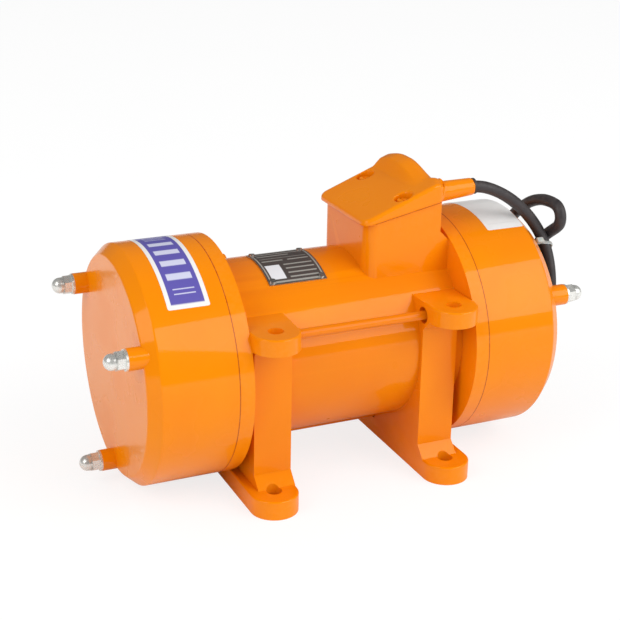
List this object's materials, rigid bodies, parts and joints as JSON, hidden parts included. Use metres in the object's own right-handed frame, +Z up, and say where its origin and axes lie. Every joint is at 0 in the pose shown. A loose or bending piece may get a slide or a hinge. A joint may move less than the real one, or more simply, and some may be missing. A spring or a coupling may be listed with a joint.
{
  "type": "vibration motor",
  "caption": "Foot-mounted electric vibration motor with drum covers over adjustable eccentric weights, a sloping terminal box lid and a rubber supply cable.",
  "frame": {"origin": "centre of the four foot holes, on the underside of the feet", "axes": "+X along the motor axis towards the cable end, +Z up, away from the mounting surface; +Y completes the right-handed frame"},
  "size_m": [0.3943, 0.207, 0.2284],
  "materials": {
    "orange_paint": "gloss",
    "steel": "satin",
    "plated_steel": "gloss",
    "bearing_steel": "polished",
    "cast_iron": "matte",
    "lamination_steel": "matte",
    "copper": "satin",
    "cage_aluminium": "satin",
    "brass": "satin",
    "plate_metal": "satin",
    "gasket_rubber": "matte",
    "black_rubber": "matte",
    "core_plastic": "satin",
    "block_plastic": "matte",
    "clear_plastic": "satin"
  },
  "bodies": {
    "housing": {"bearing_cap_left": "cast_iron", "bearing_cap_right": "cast_iron", "bearing_outer_ring_left": "bearing_steel", "bearing_outer_ring_right": "bearing_steel", "cable_tie": "clear_plastic", "cap_screws_left": "steel", "cap_screws_right": "steel", "cord_bush": "black_rubber", "cord_coil": "black_rubber", "cord_core_ends": "core_plastic", "cord_tail": "black_rubber", "cover_gasket_left": "gasket_rubber", "cover_gasket_right": "gasket_rubber", "cover_left": "orange_paint", "cover_right": "orange_paint", "domed_nuts": "plated_steel", "end_shield_left": "cast_iron", "end_shield_right": "cast_iron", "lid_screws": "steel", "motor_housing": "orange_paint", "nameplate": "plate_metal", "nameplate_rivets": "plate_metal", "power_cord": "black_rubber", "shield_screws_left": "steel", "shield_screws_right": "steel", "stator_core": "lamination_steel", "stator_windings": "copper", "stud_washers": "plated_steel", "terminal_block": "block_plastic", "terminal_box_gasket": "gasket_rubber", "terminal_box_lid": "orange_paint", "terminal_links": "brass", "terminal_nuts": "brass", "terminal_studs": "brass", "through_studs": "steel"},
    "rotor": {"rotor_shaft": "steel", "rotor_core": "lamination_steel", "rotor_end_rings": "cage_aluminium", "shaft_washers": "steel", "shaft_nuts": "steel", "bearing_inner_ring_right": "bearing_steel", "bearing_inner_ring_left": "bearing_steel", "shaft_spacer_right": "steel", "shaft_spacer_left": "steel", "fixed_weight_right": "cast_iron", "fixed_weight_left": "cast_iron", "weight_key_right": "steel", "weight_key_left": "steel"},
    "cage_left": {"bearing_cage_left": "bearing_steel", "bearing_balls_left": "bearing_steel"},
    "set_weight_left": {"set_weight_left": "cast_iron", "clamp_screw_left": "steel"},
    "cage_right": {"bearing_cage_right": "bearing_steel", "bearing_balls_right": "bearing_steel"},
    "set_weight_right": {"set_weight_right": "cast_iron", "clamp_screw_right": "steel"}
  },
  "joints": [
    {"name": "rotor_spin", "type": "hinge", "parent": "housing", "child": "rotor", "pos_m": [0, 0, 0.098], "axis": [1, 0, 0], "continuous": true},
    {"name": "cage_spin_left", "type": "hinge", "parent": "housing", "child": "cage_left", "pos_m": [0, 0, 0.098], "axis": [1, 0, 0], "continuous": true},
    {"name": "cage_spin_right", "type": "hinge", "parent": "housing", "child": "cage_right", "pos_m": [0, 0, 0.098], "axis": [1, 0, 0], "continuous": true},
    {"name": "weight_set_left", "type": "hinge", "parent": "rotor", "child": "set_weight_left", "pos_m": [0, 0, 0.098], "axis": [1, 0, 0], "range_deg": [0, 180]},
    {"name": "weight_set_right", "type": "hinge", "parent": "rotor", "child": "set_weight_right", "pos_m": [0, 0, 0.098], "axis": [1, 0, 0], "range_deg": [0, 180]}
  ],
  "couplings": [
    {"joint": "cage_spin_left", "follows": "rotor_spin", "ratio": 0.37941},
    {"joint": "cage_spin_right", "follows": "rotor_spin", "ratio": 0.37941}
  ]
}
